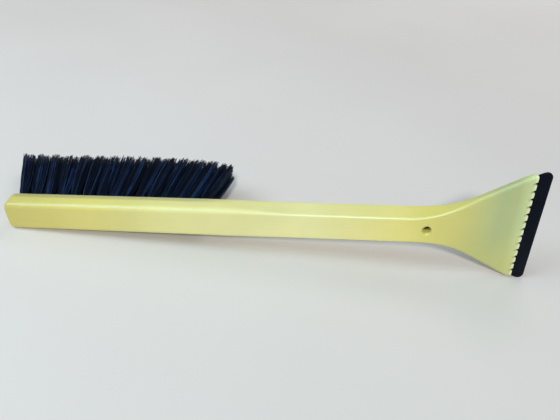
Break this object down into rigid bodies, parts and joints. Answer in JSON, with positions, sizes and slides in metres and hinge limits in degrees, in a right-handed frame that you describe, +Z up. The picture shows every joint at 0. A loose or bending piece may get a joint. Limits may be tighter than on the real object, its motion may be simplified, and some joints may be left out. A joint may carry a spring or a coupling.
{
  "type": "snow brush scraper",
  "caption": "Hand snow brush lying on its edge: block and handle in one moulding, rows of fanned bristle tufts, flared toothed scraper head with a rubber squeegee lip and a hang hole.",
  "frame": {"origin": "middle of the tool's box, on the floor it lies on", "axes": "+X from the brush end to the scraper head, +Y from the plain front to the bristles, +Z up across the width"},
  "size_m": [0.4886, 0.0948, 0.109],
  "materials": {
    "body": "smooth moulded, soft gloss",
    "lip": "satin",
    "bristles": "stiff filaments with a blue-black sheen"
  },
  "bodies": {
    "root": {"handle_body": "body", "squeegee_lip": "lip", "tuft_upper_01": "bristles", "tuft_upper_02": "bristles", "tuft_upper_03": "bristles", "tuft_upper_04": "bristles", "tuft_upper_05": "bristles", "tuft_upper_06": "bristles", "tuft_upper_07": "bristles", "tuft_upper_08": "bristles", "tuft_upper_09": "bristles", "tuft_upper_10": "bristles", "tuft_upper_11": "bristles", "tuft_upper_12": "bristles", "tuft_upper_13": "bristles", "tuft_upper_14": "bristles", "tuft_upper_15": "bristles", "tuft_lower_01": "bristles", "tuft_lower_02": "bristles", "tuft_lower_03": "bristles", "tuft_lower_04": "bristles", "tuft_lower_05": "bristles", "tuft_lower_06": "bristles", "tuft_lower_07": "bristles", "tuft_lower_08": "bristles", "tuft_lower_09": "bristles", "tuft_lower_10": "bristles", "tuft_lower_11": "bristles", "tuft_lower_12": "bristles", "tuft_lower_13": "bristles", "tuft_lower_14": "bristles", "tuft_lower_15": "bristles"}
  },
  "joints": []
}
